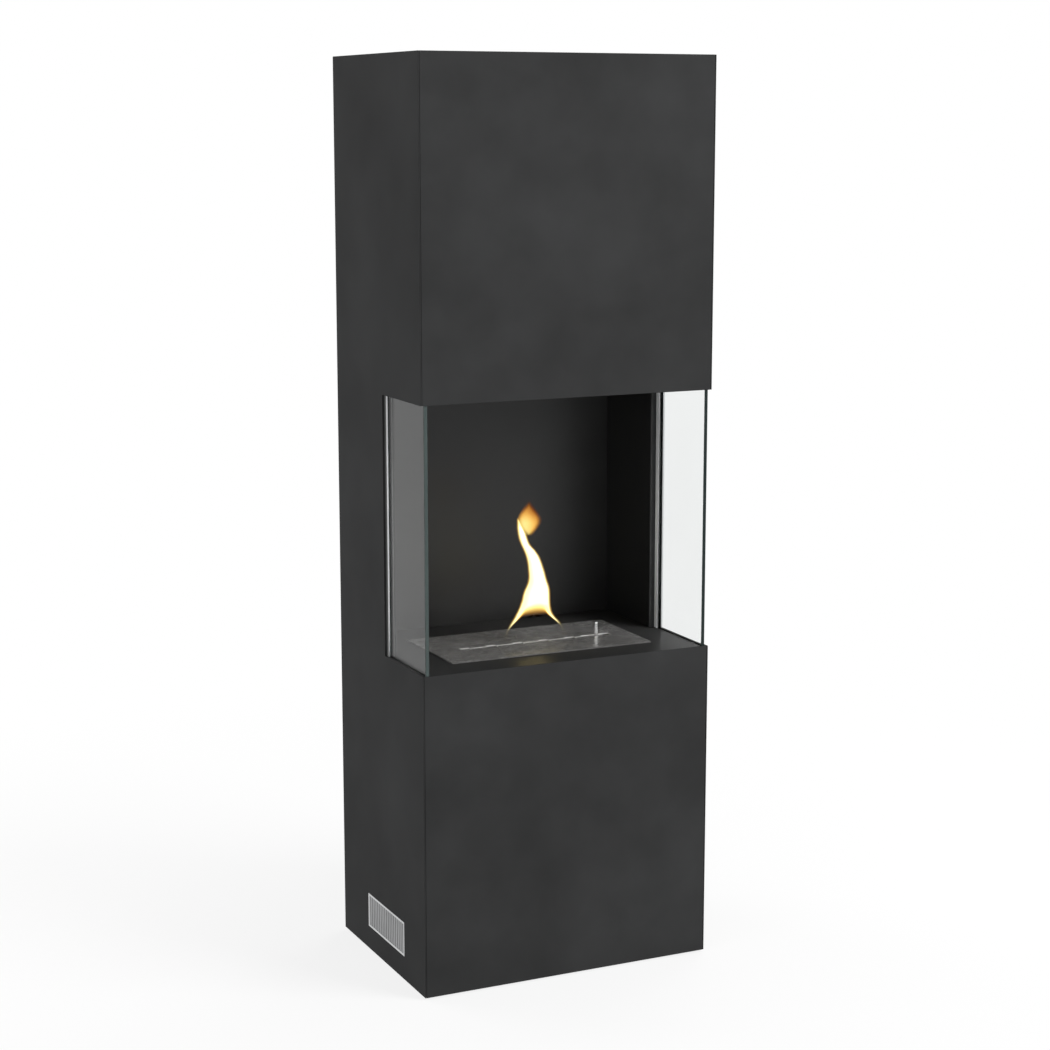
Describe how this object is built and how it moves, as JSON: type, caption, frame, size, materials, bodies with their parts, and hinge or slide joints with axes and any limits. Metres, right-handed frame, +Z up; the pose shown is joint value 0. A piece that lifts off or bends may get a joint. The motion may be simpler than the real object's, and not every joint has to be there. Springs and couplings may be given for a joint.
{
  "type": "bioethanol fireplace",
  "caption": "Tall free-standing bioethanol fireplace with an open-front fire chamber, glazed sides, lift-out burner with sliding shutter, side vent grille and levelling feet.",
  "frame": {"origin": "on the floor, under the middle of the casing's width and depth", "axes": "+Z up, +X to the right along the front as seen from in front, +Y from the open front to the back"},
  "size_m": [0.48, 0.34, 1.4],
  "materials": {
    "casing_paint": "matt anthracite with a soft cloudy concrete effect",
    "back_paint": "plain matt anthracite",
    "chamber_paint": "satin black heat-resistant paint",
    "floor_paint": "semi-gloss black heat-resistant paint",
    "frame_steel": "galvanised steel sheet",
    "zinc_steel": "bright zinc plate",
    "burner_steel": "brushed stainless steel, grain along the length",
    "pin_steel": "polished stainless steel",
    "fibre_wool": "white ceramic fibre",
    "clear_glass": "clear toughened glass with polished edges",
    "gasket_rubber": "matt black silicone",
    "aluminium": "natural anodised",
    "foot_plastic": "black moulded pad on a steel stem"
  },
  "bodies": {
    "cabinet": {"side_panel_left": "casing_paint", "side_panel_right": "casing_paint", "front_panel_lower": "casing_paint", "front_panel_upper": "casing_paint", "top_panel": "casing_paint", "base_panel": "frame_steel", "back_panel": "back_paint", "wall_bracket": "zinc_steel", "back_screw_lower_left": "zinc_steel", "back_screw_lower_right": "zinc_steel", "back_screw_upper_left": "zinc_steel", "back_screw_upper_right": "zinc_steel", "bracket_screw_left": "zinc_steel", "bracket_screw_right": "zinc_steel", "rear_post_left": "frame_steel", "rear_post_right": "frame_steel", "front_post_lower_left": "frame_steel", "front_post_lower_right": "frame_steel", "front_post_upper_left": "frame_steel", "front_post_upper_right": "frame_steel", "floor_rail_front": "frame_steel", "floor_rail_rear": "frame_steel", "ceiling_rail_front": "frame_steel", "ceiling_rail_rear": "frame_steel", "heat_shield": "zinc_steel", "chamber_floor": "floor_paint", "chamber_ceiling": "chamber_paint", "chamber_back_wall": "chamber_paint", "chamber_wall_left": "chamber_paint", "chamber_wall_right": "chamber_paint", "glass_sill_left": "floor_paint", "glass_sill_right": "floor_paint", "glass_head_left": "floor_paint", "glass_head_right": "floor_paint", "glass_jamb_left": "aluminium", "glass_jamb_right": "aluminium", "glass_gasket_left": "gasket_rubber", "glass_gasket_right": "gasket_rubber", "burner_well": "frame_steel", "vent_grille": "aluminium", "foot_nut_front_left": "zinc_steel", "foot_nut_front_right": "zinc_steel", "foot_nut_rear_left": "zinc_steel", "foot_nut_rear_right": "zinc_steel"},
    "burner": {"burner_casing": "burner_steel", "fuel_box": "burner_steel", "fuel_wool": "fibre_wool", "burner_top_plate": "burner_steel", "shutter_guide_front": "burner_steel", "shutter_guide_rear": "burner_steel"},
    "shutter": {"shutter_plate": "burner_steel", "shutter_pin": "pin_steel"},
    "pane_left": {"glass_pane_left": "clear_glass"},
    "pane_right": {"glass_pane_right": "clear_glass"},
    "foot_front_left": {"levelling_foot_front_left": "foot_plastic"},
    "foot_front_right": {"levelling_foot_front_right": "foot_plastic"},
    "foot_rear_left": {"levelling_foot_rear_left": "foot_plastic"},
    "foot_rear_right": {"levelling_foot_rear_right": "foot_plastic"}
  },
  "joints": [
    {"name": "shutter_slide", "type": "slide", "parent": "burner", "child": "shutter", "axis": [1, 0, 0], "range_m": [-0.02, 0.02]},
    {"name": "burner_lift", "type": "slide", "parent": "cabinet", "child": "burner", "axis": [0, 0, 1], "range_m": [0, 0.09]},
    {"name": "pane_left_lift", "type": "slide", "parent": "cabinet", "child": "pane_left", "axis": [0, 0, 1], "range_m": [0, 0.012]},
    {"name": "pane_right_lift", "type": "slide", "parent": "cabinet", "child": "pane_right", "axis": [0, 0, 1], "range_m": [0, 0.012]},
    {"name": "foot_front_left_screw", "type": "slide", "parent": "cabinet", "child": "foot_front_left", "axis": [0, 0, -1], "range_m": [0, 0.012]},
    {"name": "foot_front_right_screw", "type": "slide", "parent": "cabinet", "child": "foot_front_right", "axis": [0, 0, -1], "range_m": [0, 0.012]},
    {"name": "foot_rear_left_screw", "type": "slide", "parent": "cabinet", "child": "foot_rear_left", "axis": [0, 0, -1], "range_m": [0, 0.012]},
    {"name": "foot_rear_right_screw", "type": "slide", "parent": "cabinet", "child": "foot_rear_right", "axis": [0, 0, -1], "range_m": [0, 0.012]}
  ]
}
